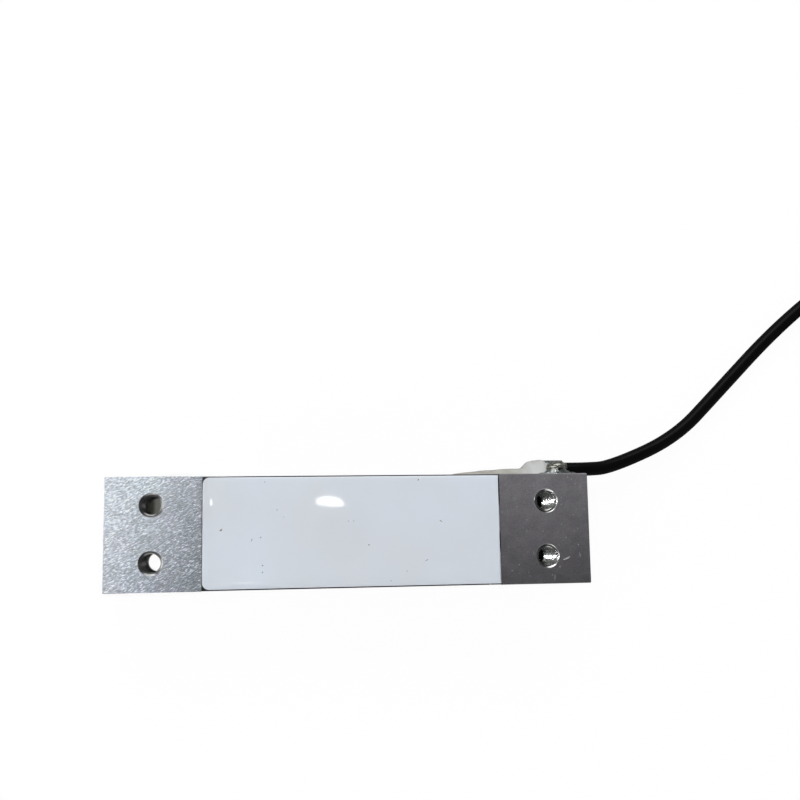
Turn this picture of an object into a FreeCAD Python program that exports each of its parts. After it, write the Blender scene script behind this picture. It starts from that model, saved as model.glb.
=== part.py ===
import FreeCAD, Part
import math
import os

# Single point load cell: an aluminium bending beam with strain gauges under silicone and a
# four-core cable clipped to its side. Millimetres. The origin is midway between the two
# mounting holes of the fixed end, on the bottom face. +X runs along the beam towards the
# fixed end, where the cable leaves, +Y towards the side that carries the cable, +Z up.

Vector = FreeCAD.Vector
X_AXIS = Vector(1, 0, 0)
Y_AXIS = Vector(0, 1, 0)
Z_AXIS = Vector(0, 0, 1)

# Beam
BEAM_LENGTH = 130.0
BEAM_WIDTH = 30.0
BEAM_HEIGHT = 22.0
EDGE_BREAK = 0.2
HOLE_TO_END = 12.0          # mounting hole axes to the nearer end face
HOLE_SPACING = 15.0         # between the two holes of one end, across the beam
TAP_DRILL = 5.0             # of the M6 mounting holes
CHAMFER_DEPTH = 0.75        # 45 degree mouth of each mounting hole
FIXED_BLOCK = 25.0          # full-height block at the fixed end
LIVE_BLOCK = 25.0           # full-height block at the live end
RECESS_DEPTH = 1.8          # shallow gauge recess, top and bottom
BORE_DIAMETER = 14.0        # binocular cut-out: two bores joined by a slot
BORE_TO_RECESS_END = 21.0    # each bore's axis to its own end wall of the recess
SLOT_HEIGHT = 6.0

SIDE = BEAM_WIDTH / 2
FIXED_FACE = HOLE_TO_END
LIVE_FACE = FIXED_FACE - BEAM_LENGTH
LIVE_HOLES = LIVE_FACE + HOLE_TO_END
RECESS_END = FIXED_FACE - FIXED_BLOCK
RECESS_START = LIVE_FACE + LIVE_BLOCK
MID_X = (RECESS_START + RECESS_END) / 2
MID_Z = BEAM_HEIGHT / 2
RECESS_FLOOR = BEAM_HEIGHT - RECESS_DEPTH
BORES = {"live": RECESS_START + BORE_TO_RECESS_END, "fixed": RECESS_END - BORE_TO_RECESS_END}

# Cable and its four cores
CABLE_DIAMETER = 4.0
CORE_DIAMETER = 0.8
CORE_PITCH = 0.85           # between neighbouring cores
FIT = 0.05                  # clearance between pieces that touch
CABLE_HEIGHT = 6.5          # cable axis above the bottom face, under the clip
CABLE_Y = SIDE + FIT + CABLE_DIAMETER / 2
JACKET_START = -0.8         # where the jacket is cut back, inside the side silicone

# Wiring holes: two cross-drilled holes that meet as an elbow for the cores, level with the
# cable, and a through hole for the bottom gauges' wires
ELBOW_DIAMETER = 4.2
ELBOW_TO_RECESS_END = 2.3   # elbow axis to the recess end wall
ELBOW_DEPTH = 6.0           # from the cable side to the elbow's upright leg
DRILL_TIP = 0.3             # height of a drilled hole's conical end, as a share of its diameter
LINK_HOLE_DIAMETER = 2.0
LINK_HOLE_DEPTH = 6.0       # from the plain side
ELBOW_X = RECESS_END - ELBOW_TO_RECESS_END
ELBOW_Y = SIDE - ELBOW_DEPTH
LINK_Y = LINK_HOLE_DEPTH - SIDE

# Strain gauges, all of one size, on the thin webs over and under the bores
FILM_LENGTH = 9.0
FILM_WIDTH = 4.4
FILM_THICKNESS = 0.1
FOIL_THICKNESS = 0.05
STRIP_COUNT = 6
STRIP_LENGTH = 5.0
STRIP_WIDTH = 0.3
STRIP_PITCH = 0.5
GRID_SHIFT = 0.7            # grid centre behind the film centre, which makes room for the tabs
TAB_SIZE = 1.1
TAB_NECK = 0.3
RIBBON_WIDTH = 0.4
RIBBON_THICKNESS = 0.1
OUTER_LANE = 5.5            # Y of the live gauge's ribbons, clear of the fixed gauge
TAB_LANE = (STRIP_COUNT - 1) / 2 * STRIP_PITCH + STRIP_WIDTH / 2 - TAB_SIZE / 2

# Flexible circuit boards with the trim resistors
BOARD_LENGTH = 8.0
BOARD_TO_ELBOW = 5.0        # nearer board edge to the elbow axis
BOARD_EDGE_GAP = 2.0        # board to each side of the beam
RIBBON_LAP = 1.5
CORE_LAP = 2.6
RESISTOR_LENGTH = 3.2
RESISTOR_WIDTH = 1.6
RESISTOR_HEIGHT = 0.55
RESISTOR_PITCH = 4.6
RESISTOR_TO_EDGE = 3.8      # first resistor's middle to the board's plain-side edge
LINK_WIRE_DIAMETER = 0.25
LINK_WIRE_PITCH = 0.4
BOARD_TOP = RECESS_FLOOR + FILM_THICKNESS + FOIL_THICKNESS
BOARD_END = ELBOW_X - BOARD_TO_ELBOW
BOARD_START = BOARD_END - BOARD_LENGTH

# Silicone
POTTING_SINK = 0.2          # silicone below the beam's face
POTTING_INSET = 0.12        # silicone to each side of the beam
POTTING_GAP = 0.12          # silicone to the recess end walls
POTTING_CORNER = 1.4
POTTING_EDGE = 0.45
BEAD_REACH = 27.0           # from the mounting hole axes to the side bead's thin end
BEAD_SINK = 4.0             # side bead's axis below the side face, so that the bead is wide and low
POCKET_MARGIN = 0.1         # silicone round the cores

# Saddle clip, its screw and washers
CLIP_X = 5.8
CLIP_WIDTH = 10.4
CLIP_THICKNESS = 0.6
CLIP_BEND = 0.5             # inner radius of the bend between the leg and the saddle
SCREW_HEIGHT = 13.8
SCREW_DIAMETER = 3.0
SCREW_LENGTH = 8.0
SCREW_CLEARANCE = 0.1       # radial, in the clip and the washers
TAP_RUNOUT = 0.8            # blind hole past the screw's tip
HEAD_DIAMETER = 5.6
HEAD_HEIGHT = 2.1
HEAD_ROUND = 1.0            # of the pan head's rim, made of two cones
CROSS_LENGTH = 3.0
CROSS_WIDTH = 0.75
CROSS_DEPTH = 1.2
WASHER_DIAMETER = 7.0
WASHER_THICKNESS = 0.5
LOCK_WASHER_DIAMETER = 5.4
LOCK_WASHER_THICKNESS = 0.7
LOCK_WASHER_SPLIT = 0.6

# Coil of the spare cable, lying beside the fixed end: an outer and an inner turn side by
# side, then the last part of a turn on top of them, out to the tail
COIL_X = 124.5
COIL_Y = 56.0
LANE_SPACING = 4.1          # between cable axes in the coil
COIL_DIAMETER = 48.0        # midway between the outer and the inner turn
ENTRY_ANGLE = 110.0         # seen from above, from +X; the coil is wound clockwise
EXIT_ANGLE = 60.0
HUMP_END_ANGLE = 225.0      # where the top strand has come down beside the outer turn
TIE_THICKNESS = 0.5
TIE_WIDTH = 3.0
TIE_ANGLE = 300.0
TIE_STUB_LENGTH = 6.0
TIE_STUB_HEIGHT = 1.5
COIL_CENTRE = Vector(COIL_X, COIL_Y, 0)
COIL_RADIUS = COIL_DIAMETER / 2
COIL_INNER = COIL_RADIUS - LANE_SPACING / 2 - CABLE_DIAMETER / 2 - FIT
COIL_OUTER = COIL_RADIUS + LANE_SPACING / 2 + CABLE_DIAMETER / 2 + FIT
COIL_BOTTOM = TIE_THICKNESS + FIT
COIL_TOP = COIL_BOTTOM + CABLE_DIAMETER + FIT / 2
LOWER_LANE = COIL_BOTTOM + CABLE_DIAMETER / 2
UPPER_LANE = LOWER_LANE + LANE_SPACING

# Tail of the cable, from the coil to its bare end
TAIL_TOP_RUN = 21.0
TAIL_DROP_RUN = 18.0
TAIL_FLOOR_RUN = 14.0
END_CORE_LENGTH = 34.0
END_CORE_SPREAD = 3.6       # between the cores where they lie on the floor
TIP_DIAMETER = 0.5
TIP_LENGTH = 6.0
WIRE_FLATS = 8              # sides of the thin wires' section, which keep their facets few

# Places of the cores in the cable's two by two pack: away from or next to the side face,
# lower or upper. The dictionary's order is their order in the flat row, from the bottom.
CORES = {"white": (1, -1), "green": (-1, -1), "red": (-1, 1), "black": (1, 1)}
ROW_Y = SIDE + FIT + CORE_DIAMETER / 2
FAN_END = JACKET_START - 1.4         # where the cores have spread to the height of the row
ROW_START = FAN_END - 3.3            # where they lie against the side face
ROW_HALF = (len(CORES) - 1) / 2 * CORE_PITCH + CORE_DIAMETER / 2


def box(x0, x1, y0, y1, z0, z1):
    return Part.makeBox(x1 - x0, y1 - y0, z1 - z0, Vector(x0, y0, z0))


def fused(shapes):
    return shapes[0].multiFuse(shapes[1:]).removeSplitter()


def underside(shape):
    """The same piece in the bottom recess."""
    return shape.mirror(Vector(0, 0, MID_Z), Z_AXIS)


def rounded_path(points, radii):
    """Straight runs through the points, joined by tangent arcs of the given radii."""
    edges = []
    start = points[0]
    for before, corner, after, radius in zip(points, points[1:], points[2:], radii):
        arriving = (corner - before).normalize()
        leaving = (after - corner).normalize()
        half_turn = arriving.getAngle(leaving) / 2
        reach = radius * math.tan(half_turn)
        inward = (leaving - arriving).normalize()
        middle = corner + inward * (radius / math.cos(half_turn) - radius)
        arc_start = corner - arriving * reach
        arc_end = corner + leaving * reach
        edges.append(Part.LineSegment(start, arc_start).toShape())
        edges.append(Part.Arc(arc_start, middle, arc_end).toShape())
        start = arc_end
    edges.append(Part.LineSegment(start, points[-1]).toShape())
    return Part.Wire(edges)


def round_section(start, along, diameter):
    return Part.Wire(Part.Circle(start, along, diameter / 2).toShape())


def flat_sided_section(start, along, diameter):
    """A wire's section with WIRE_FLATS sides, its corners on the round one."""
    sideways = along.cross(Z_AXIS).normalize()
    upwards = sideways.cross(along).normalize()
    turns = [2 * math.pi * (i + 0.5) / WIRE_FLATS for i in range(WIRE_FLATS + 1)]
    return Part.makePolygon([start + (sideways * math.cos(turn) + upwards * math.sin(turn))
                             * (diameter / 2) for turn in turns])


def tube(points, radii, diameter, section=round_section):
    path = rounded_path(points, radii)
    profile = section(points[0], points[1] - points[0], diameter)
    return path.makePipeShell([profile], True, False), path.Length


def mitred_wire(points, diameter):
    """A wire that silicone hides, with mitred corners."""
    profile = flat_sided_section(points[0], points[1] - points[0], diameter)
    return Part.makePolygon(points).makePipeShell([profile], True, False, 1)


def largest_radii(points):
    """Each bend of a free cord takes 0.45 of its shorter run."""
    radii = []
    for before, corner, after in zip(points, points[1:], points[2:]):
        shorter = min((corner - before).Length, (after - corner).Length)
        turn = (corner - before).getAngle(after - corner)
        radii.append(0.45 * shorter / math.tan(turn / 2))
    return radii


def cord(name, points, diameter, section=round_section):
    radii = largest_radii(points)
    solid, length = tube(points, radii, diameter, section)
    expected = Part.Face(section(points[0], points[1] - points[0], diameter)).Area * length
    print(name, "length", round(length, 1), "volume / expected", round(solid.Volume / expected, 4),
          "radii", [round(radius, 1) for radius in radii])
    return solid


def mounting_hole(x, y):
    radius = TAP_DRILL / 2
    wide = radius + CHAMFER_DEPTH
    profile = [(0, 0), (wide, 0), (radius, CHAMFER_DEPTH),
               (radius, BEAM_HEIGHT - CHAMFER_DEPTH), (wide, BEAM_HEIGHT), (0, BEAM_HEIGHT)]
    corners = [Vector(x + r, y, z) for r, z in profile]
    face = Part.Face(Part.makePolygon(corners + corners[:1]))
    return face.revolve(Vector(x, y, 0), Z_AXIS, 360)


def drilled(diameter, depth, mouth, inward):
    """A blind hole of that depth, with the drill's conical end past it."""
    radius = diameter / 2
    tip = DRILL_TIP * diameter
    return fused([Part.makeCylinder(radius, depth, mouth, inward),
                  Part.makeCone(radius, 0, tip, mouth + inward * depth, inward)])


def wiring_elbow():
    past_axis = ELBOW_DIAMETER / 2
    upright = drilled(ELBOW_DIAMETER, RECESS_FLOOR - CABLE_HEIGHT + past_axis,
                      Vector(ELBOW_X, ELBOW_Y, RECESS_FLOOR), -Z_AXIS)
    level = drilled(ELBOW_DIAMETER, ELBOW_DEPTH + past_axis, Vector(ELBOW_X, SIDE, CABLE_HEIGHT), -Y_AXIS)
    return fused([upright, level])


def screw_stack():
    """Diameter and seat, from the clip outwards, of the washer, the lock washer and the head."""
    washer = SIDE + CLIP_THICKNESS
    lock = washer + WASHER_THICKNESS
    return [(WASHER_DIAMETER, washer), (LOCK_WASHER_DIAMETER, lock),
            (HEAD_DIAMETER, lock + LOCK_WASHER_THICKNESS)]


def screw_hole():
    head_seat = screw_stack()[2][1]
    depth = SCREW_LENGTH - (head_seat - SIDE) + TAP_RUNOUT
    return drilled(SCREW_DIAMETER + 2 * FIT, depth, Vector(CLIP_X, SIDE, SCREW_HEIGHT), -Y_AXIS)


def beam():
    bar = box(LIVE_FACE, FIXED_FACE, -SIDE, SIDE, 0, BEAM_HEIGHT)
    bar = bar.makeChamfer(EDGE_BREAK, bar.Edges)
    recess = box(RECESS_START, RECESS_END, -BEAM_WIDTH, BEAM_WIDTH, RECESS_FLOOR,
                 RECESS_FLOOR + 2 * RECESS_DEPTH)
    cuts = [recess, underside(recess), wiring_elbow(), screw_hole()]
    cuts.append(Part.makeCylinder(LINK_HOLE_DIAMETER / 2, BEAM_HEIGHT, Vector(ELBOW_X, LINK_Y, 0)))
    for bore_x in BORES.values():
        cuts.append(Part.makeCylinder(BORE_DIAMETER / 2, 2 * BEAM_WIDTH,
                                      Vector(bore_x, -BEAM_WIDTH, MID_Z), Y_AXIS))
    cuts.append(box(BORES["live"], BORES["fixed"], -BEAM_WIDTH, BEAM_WIDTH,
                    MID_Z - SLOT_HEIGHT / 2, MID_Z + SLOT_HEIGHT / 2))
    for x in (0, LIVE_HOLES):
        for y in (-HOLE_SPACING / 2, HOLE_SPACING / 2):
            cuts.append(mounting_hole(x, y))
    return bar.cut(cuts)


def gauge_film(x):
    return box(x - FILM_LENGTH / 2, x + FILM_LENGTH / 2, -FILM_WIDTH / 2, FILM_WIDTH / 2,
               RECESS_FLOOR, RECESS_FLOOR + FILM_THICKNESS)


def gauge_grid(x):
    """A foil serpentine along the beam, with its two solder tabs towards the fixed end."""
    z0 = RECESS_FLOOR + FILM_THICKNESS
    z1 = z0 + FOIL_THICKNESS
    x0 = x - GRID_SHIFT - STRIP_LENGTH / 2
    x1 = x0 + STRIP_LENGTH
    rows = [(i - (STRIP_COUNT - 1) / 2) * STRIP_PITCH for i in range(STRIP_COUNT)]
    foil = [box(x0, x1, y - STRIP_WIDTH / 2, y + STRIP_WIDTH / 2, z0, z1) for y in rows]
    for i, (low, high) in enumerate(zip(rows, rows[1:])):
        end = x0 if i % 2 == 0 else x1 - STRIP_WIDTH
        foil.append(box(end, end + STRIP_WIDTH, low, high, z0, z1))
    for y, sign in ((rows[0], -1), (rows[-1], 1)):
        foil.append(box(x1, x1 + TAB_NECK, y - STRIP_WIDTH / 2, y + STRIP_WIDTH / 2, z0, z1))
        outer = y + sign * STRIP_WIDTH / 2
        inner = outer - sign * TAB_SIZE
        foil.append(box(x1 + TAB_NECK, x1 + TAB_NECK + TAB_SIZE, min(outer, inner),
                        max(outer, inner), z0, z1))
    return fused(foil)


def gauge_ribbon(x, sign, lane):
    """A flat lead from a solder tab to the board, in its own lane."""
    tab_x = x - GRID_SHIFT + STRIP_LENGTH / 2 + TAB_NECK
    half = RIBBON_WIDTH / 2
    z0 = BOARD_TOP
    z1 = z0 + RIBBON_THICKNESS
    along = box(tab_x, BOARD_START + RIBBON_LAP, sign * lane - half, sign * lane + half, z0, z1)
    y0, y1 = sorted((sign * TAB_LANE, sign * lane))
    across = box(tab_x, tab_x + RIBBON_WIDTH, y0 - half, y1 + half, z0, z1)
    return fused([along, across])


def flex_board():
    edge = SIDE - BOARD_EDGE_GAP
    return box(BOARD_START, BOARD_END, -edge, edge, RECESS_FLOOR, BOARD_TOP)


def resistor(place):
    x = (BOARD_START + BOARD_END) / 2
    y = BOARD_EDGE_GAP - SIDE + RESISTOR_TO_EDGE + place * RESISTOR_PITCH
    return box(x - RESISTOR_WIDTH / 2, x + RESISTOR_WIDTH / 2,
               y - RESISTOR_LENGTH / 2, y + RESISTOR_LENGTH / 2, BOARD_TOP, BOARD_TOP + RESISTOR_HEIGHT)


def link_wire(place):
    """From the bottom board through the small hole to the top board."""
    y = LINK_Y + (place - 1.5) * LINK_WIRE_PITCH
    z = BOARD_TOP + LINK_WIRE_DIAMETER / 2 + FIT
    lap_x = BOARD_END - RIBBON_LAP
    points = [Vector(lap_x, y, BEAM_HEIGHT - z), Vector(ELBOW_X, y, BEAM_HEIGHT - z),
              Vector(ELBOW_X, y, z), Vector(lap_x, y, z)]
    return mitred_wire(points, LINK_WIRE_DIAMETER)


def core(place, side, level):
    """One core: out of the jacket, along the side face in a flat row of four, round the
    elbow and over the top board. place is its place in the row, from the bottom."""
    half = CORE_PITCH / 2
    offset = (place - 1.5) * CORE_PITCH
    top = BOARD_TOP + FIT + CORE_DIAMETER / 2
    points = [Vector(JACKET_START, CABLE_Y + side * half, CABLE_HEIGHT + level * half)]
    if side > 0:
        points.append(points[0] - X_AXIS * CORE_DIAMETER / 2)
    points += [Vector(FAN_END, CABLE_Y + side * half, CABLE_HEIGHT + offset),
               Vector(ROW_START, ROW_Y, CABLE_HEIGHT + offset),
               Vector(ELBOW_X, ROW_Y, CABLE_HEIGHT + offset),
               Vector(ELBOW_X, ELBOW_Y + offset, CABLE_HEIGHT + offset),
               Vector(ELBOW_X, ELBOW_Y + offset, top),
               Vector(BOARD_END - CORE_LAP, ELBOW_Y + offset, top)]
    return mitred_wire(points, CORE_DIAMETER)


def core_pocket():
    """The space that the cores take under the side silicone."""
    row_out = ROW_Y + CORE_DIAMETER / 2 + POCKET_MARGIN
    jacket_out = CABLE_Y + CORE_PITCH / 2 + CORE_DIAMETER / 2 + POCKET_MARGIN
    low = CABLE_HEIGHT - ROW_HALF - POCKET_MARGIN
    far = ELBOW_X - CORE_DIAMETER / 2 - POCKET_MARGIN
    outline = [(JACKET_START, 0), (JACKET_START, jacket_out),
               (FAN_END, jacket_out), (ROW_START, row_out), (far, row_out), (far, 0)]
    corners = [Vector(x, y, low) for x, y in outline]
    face = Part.Face(Part.makePolygon(corners + corners[:1]))
    return face.extrude(Z_AXIS * 2 * (ROW_HALF + POCKET_MARGIN))


def core_slot():
    """The space that the cores take in the top silicone."""
    half = ROW_HALF + POCKET_MARGIN
    top = BOARD_TOP + FIT + CORE_DIAMETER + POCKET_MARGIN
    return box(BOARD_END - CORE_LAP, ELBOW_X + CORE_DIAMETER / 2 + POCKET_MARGIN,
               ELBOW_Y - half, ELBOW_Y + half, RECESS_FLOOR, top)


def link_slot():
    """The space that the link wires take in the silicone of either recess."""
    half = 1.5 * LINK_WIRE_PITCH + LINK_WIRE_DIAMETER
    top = BOARD_TOP + FIT + 2 * LINK_WIRE_DIAMETER
    return box(BOARD_END - RIBBON_LAP, ELBOW_X + LINK_WIRE_DIAMETER, LINK_Y - half, LINK_Y + half,
               RECESS_FLOOR, top)


def recess_potting(buried):
    inset = SIDE - POTTING_INSET
    slab = box(RECESS_START + POTTING_GAP, RECESS_END - POTTING_GAP, -inset, inset,
               RECESS_FLOOR, BEAM_HEIGHT - POTTING_SINK)
    upright = [edge for edge in slab.Edges if abs(edge.tangentAt(0).z) > 0.5]
    live_corners = [edge for edge in upright if edge.CenterOfMass.x < MID_X]
    slab = slab.makeFillet(POTTING_CORNER, live_corners)
    top = max(slab.Faces, key=lambda face: face.CenterOfMass.z)
    slab = slab.makeChamfer(POTTING_EDGE, top.Edges)
    return slab.cut(buried)


def side_potting(clip):
    """A long low bead over the wiring elbow that swells where it buries the jacket's end and
    the near half of the clip. It is turned about an axis inside the beam and cut off at the
    side face. Each outline point is a place along the beam, as a share of BEAD_REACH, and a
    height over that face, as a share of the lump over the clip."""
    lump = CABLE_Y + CABLE_DIAMETER / 2 + CLIP_THICKNESS - SIDE
    outline = [(-1.0, -0.13), (-0.85, 0.2), (-0.62, 0.38), (-0.36, 0.49), (-0.14, 0.52),
               (-0.09, 0.65), (-0.045, 0.96), (0.02, 1.03), (0.11, 1.02), (0.14, 0.74)]
    axis = Vector(0, SIDE - BEAD_SINK, CABLE_HEIGHT)
    rim = [axis + Vector(x * BEAD_REACH, BEAD_SINK + height * lump, 0) for x, height in outline]
    near = Vector(rim[0].x, axis.y, axis.z)
    far = Vector(rim[-1].x, axis.y, axis.z)
    bead = Part.Face(Part.makePolygon([near] + rim + [far, near])).revolve(axis, X_AXIS, 360)
    bead = bead.common(box(LIVE_FACE, FIXED_FACE, SIDE, 2 * BEAM_WIDTH, 0, BEAM_HEIGHT))
    reach = CABLE_DIAMETER / 2 + FIT
    bore = Part.makeCylinder(reach, BEAM_LENGTH, Vector(JACKET_START, CABLE_Y, CABLE_HEIGHT), X_AXIS)
    under_cable = box(JACKET_START, FIXED_FACE, SIDE - FIT, CABLE_Y,
                      CABLE_HEIGHT - reach, CABLE_HEIGHT + reach)
    for piece in (fused([bore, under_cable]), core_pocket(), clip):
        bead = bead.cut(piece)
    for diameter, seat in screw_stack():
        post = Part.makeCylinder(diameter / 2 + FIT, BEAM_WIDTH, Vector(CLIP_X, seat, SCREW_HEIGHT), Y_AXIS)
        bead = bead.cut(post)
    return bead


def cable_clip():
    """A strip bent over the cable: a leg flat on the side face, a saddle round the cable and
    a short return under it, which ends at the side face."""
    inner = CABLE_DIAMETER / 2 + FIT
    outer = inner + CLIP_THICKNESS
    bend = CLIP_BEND + CLIP_THICKNESS
    leg_top = SCREW_HEIGHT + CLIP_WIDTH
    x = CLIP_X - CLIP_WIDTH / 2
    centre = Vector(x, CABLE_Y, CABLE_HEIGHT)
    knee = Vector(x, SIDE + bend, CABLE_HEIGHT + inner + bend)
    diagonal = Vector(0, -math.sqrt(0.5), -math.sqrt(0.5))

    def at(y, z):
        return Vector(x, y, z)

    def line(start, end):
        return Part.LineSegment(start, end).toShape()

    def arc(start, middle, end):
        return Part.Arc(start, middle, end).toShape()

    back_top = at(SIDE, leg_top)
    back_low = at(SIDE, knee.z)
    roof_in = at(knee.y, CABLE_HEIGHT + inner)
    crown_in = at(CABLE_Y, CABLE_HEIGHT + inner)
    foot_in = at(CABLE_Y, CABLE_HEIGHT - inner)
    lip_in = at(SIDE + FIT, CABLE_HEIGHT - inner)
    lip_out = at(SIDE + FIT, CABLE_HEIGHT - outer)
    foot_out = at(CABLE_Y, CABLE_HEIGHT - outer)
    crown_out = at(CABLE_Y, CABLE_HEIGHT + outer)
    roof_out = at(knee.y, CABLE_HEIGHT + outer)
    front_low = at(SIDE + CLIP_THICKNESS, knee.z)
    front_top = at(SIDE + CLIP_THICKNESS, leg_top)
    strip = Part.Wire([
        line(back_top, back_low), arc(back_low, knee + diagonal * bend, roof_in),
        line(roof_in, crown_in), arc(crown_in, centre + Y_AXIS * inner, foot_in),
        line(foot_in, lip_in), line(lip_in, lip_out), line(lip_out, foot_out),
        arc(foot_out, centre + Y_AXIS * outer, crown_out), line(crown_out, roof_out),
        arc(roof_out, knee + diagonal * CLIP_BEND, front_low), line(front_low, front_top),
        line(front_top, back_top)])
    bent = Part.Face(strip).extrude(X_AXIS * CLIP_WIDTH)
    rounded_end = fused([
        box(x, x + CLIP_WIDTH, SIDE, SIDE + BEAM_WIDTH, 0, SCREW_HEIGHT),
        Part.makeCylinder(CLIP_WIDTH / 2, BEAM_WIDTH, Vector(CLIP_X, SIDE, SCREW_HEIGHT), Y_AXIS)])
    hole = Part.makeCylinder(SCREW_DIAMETER / 2 + SCREW_CLEARANCE, 2 * CLIP_THICKNESS,
                             Vector(CLIP_X, SIDE, SCREW_HEIGHT), Y_AXIS)
    return bent.common(rounded_end).cut(hole)


def ring(diameter, seat, thickness):
    base = Vector(CLIP_X, seat, SCREW_HEIGHT)
    hole = Part.makeCylinder(SCREW_DIAMETER / 2 + SCREW_CLEARANCE, thickness, base, Y_AXIS)
    return Part.makeCylinder(diameter / 2, thickness, base, Y_AXIS).cut(hole)


def clip_washer():
    return ring(*screw_stack()[0], WASHER_THICKNESS)


def lock_washer():
    diameter, seat = screw_stack()[1]
    split = box(CLIP_X - LOCK_WASHER_SPLIT / 2, CLIP_X + LOCK_WASHER_SPLIT / 2, seat,
                seat + LOCK_WASHER_THICKNESS, SCREW_HEIGHT, SCREW_HEIGHT + diameter)
    return ring(diameter, seat, LOCK_WASHER_THICKNESS).cut(split)


def clip_screw():
    """A pan head with a cross recess; its thread is a plain cylinder."""
    diameter, seat = screw_stack()[2]
    base = Vector(CLIP_X, seat, SCREW_HEIGHT)
    radius = diameter / 2
    outline = [(0, 0), (radius, 0), (radius, HEAD_HEIGHT - HEAD_ROUND),
               (radius - 0.3 * HEAD_ROUND, HEAD_HEIGHT - 0.3 * HEAD_ROUND),
               (radius - HEAD_ROUND, HEAD_HEIGHT), (0, HEAD_HEIGHT)]
    corners = [base + Vector(r, y, 0) for r, y in outline]
    head = Part.Face(Part.makePolygon(corners + corners[:1])).revolve(base, Y_AXIS, 360)
    shank = Part.makeCylinder(SCREW_DIAMETER / 2, SCREW_LENGTH, base, Vector(0, -1, 0))
    floor_y = seat + HEAD_HEIGHT - CROSS_DEPTH
    long = CROSS_LENGTH / 2
    short = CROSS_WIDTH / 2
    upright = box(CLIP_X - short, CLIP_X + short, floor_y, floor_y + HEAD_HEIGHT,
                  SCREW_HEIGHT - long, SCREW_HEIGHT + long)
    level = box(CLIP_X - long, CLIP_X + long, floor_y, floor_y + HEAD_HEIGHT,
                SCREW_HEIGHT - short, SCREW_HEIGHT + short)
    return fused([head, shank]).cut([upright, level])


def around_coil(angle, radius, height):
    turn = math.radians(angle)
    return COIL_CENTRE + Vector(radius * math.cos(turn), radius * math.sin(turn), height)


def cable_run():
    """From the jacket's end, through the clip, down to the floor and round to the coil."""
    points = [Vector(JACKET_START, CABLE_Y, CABLE_HEIGHT), Vector(10.5, CABLE_Y, CABLE_HEIGHT),
              Vector(16.5, 17.08, 6.38), Vector(24.6, 17.6, 5.0), Vector(46.1, 26.5, 2.7),
              Vector(60.6, 40.5, 2.05), Vector(79.6, 59.3, 2.0), Vector(98.6, 74.3, 2.1),
              around_coil(ENTRY_ANGLE, COIL_RADIUS + LANE_SPACING / 2, LOWER_LANE)]
    inside_coil = Part.makeCylinder(COIL_OUTER, BEAM_HEIGHT, COIL_CENTRE)
    return cord("cable_run", points, CABLE_DIAMETER).cut(inside_coil)


def cable_coil():
    """The outer shape of the two turns, with the top strand over a part of them."""
    x = COIL_CENTRE.x
    y = COIL_CENTRE.y
    turns = Part.makeCylinder(COIL_OUTER, COIL_TOP - COIL_BOTTOM, Vector(x, y, COIL_BOTTOM))
    turns = turns.cut(Part.makeCylinder(COIL_INNER, COIL_TOP, COIL_CENTRE))
    half = CABLE_DIAMETER / 2
    top = LANE_SPACING + half
    outline = [(-half, 0), (-half, top), (half, top), (half, 0)]
    corners = [around_coil(EXIT_ANGLE, COIL_RADIUS + r, LOWER_LANE + z) for r, z in outline]
    section = Part.makePolygon(corners + corners[:1])
    top_strand = Part.Face(section).revolve(COIL_CENTRE, Z_AXIS, HUMP_END_ANGLE - EXIT_ANGLE)
    return fused([turns, top_strand])


def tail_points():
    """Off the top of the coil, down beside it, then along the floor to the bare end."""
    turn = math.radians(EXIT_ANGLE)
    heading = Vector(math.sin(turn), -math.cos(turn), 0)
    start = around_coil(EXIT_ANGLE, COIL_RADIUS, UPPER_LANE)
    floor = start - Z_AXIS * (UPPER_LANE - CABLE_DIAMETER / 2)
    down = TAIL_TOP_RUN + TAIL_DROP_RUN
    return [start, start + heading * TAIL_TOP_RUN, floor + heading * down,
            floor + heading * (down + TAIL_FLOOR_RUN)], heading


def cable_tail():
    return cord("cable_tail", tail_points()[0], CABLE_DIAMETER)


def coil_tie():
    """A flat tie round both turns, with its twisted ends standing out."""
    centre = around_coil(TIE_ANGLE, 0, 0)
    radial = around_coil(TIE_ANGLE, 1, 0) - centre

    def loop(grow):
        low = COIL_BOTTOM - grow
        high = COIL_TOP + grow
        near = COIL_INNER - grow
        far = COIL_OUTER + grow
        corners = [centre + radial * r + Z_AXIS * z
                   for r, z in ((near, low), (far, low), (far, high), (near, high), (near, low))]
        half_angle = math.degrees(TIE_WIDTH / 2 / COIL_OUTER)
        turned = Part.Face(Part.makePolygon(corners)).revolve(COIL_CENTRE, Z_AXIS, 2 * half_angle)
        turned.rotate(COIL_CENTRE, Z_AXIS, -half_angle)
        return turned

    band = loop(TIE_THICKNESS).cut(loop(FIT))
    start = centre + radial * (COIL_OUTER + FIT) + Z_AXIS * (COIL_BOTTOM + COIL_TOP) / 2
    stub = Part.makeBox(TIE_STUB_LENGTH, TIE_THICKNESS, TIE_STUB_HEIGHT,
                        Vector(0, -TIE_THICKNESS / 2, -TIE_STUB_HEIGHT / 2))
    stub.rotate(Vector(0, 0, 0), Z_AXIS, TIE_ANGLE)
    stub.translate(start)
    return fused([band, stub])


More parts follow.
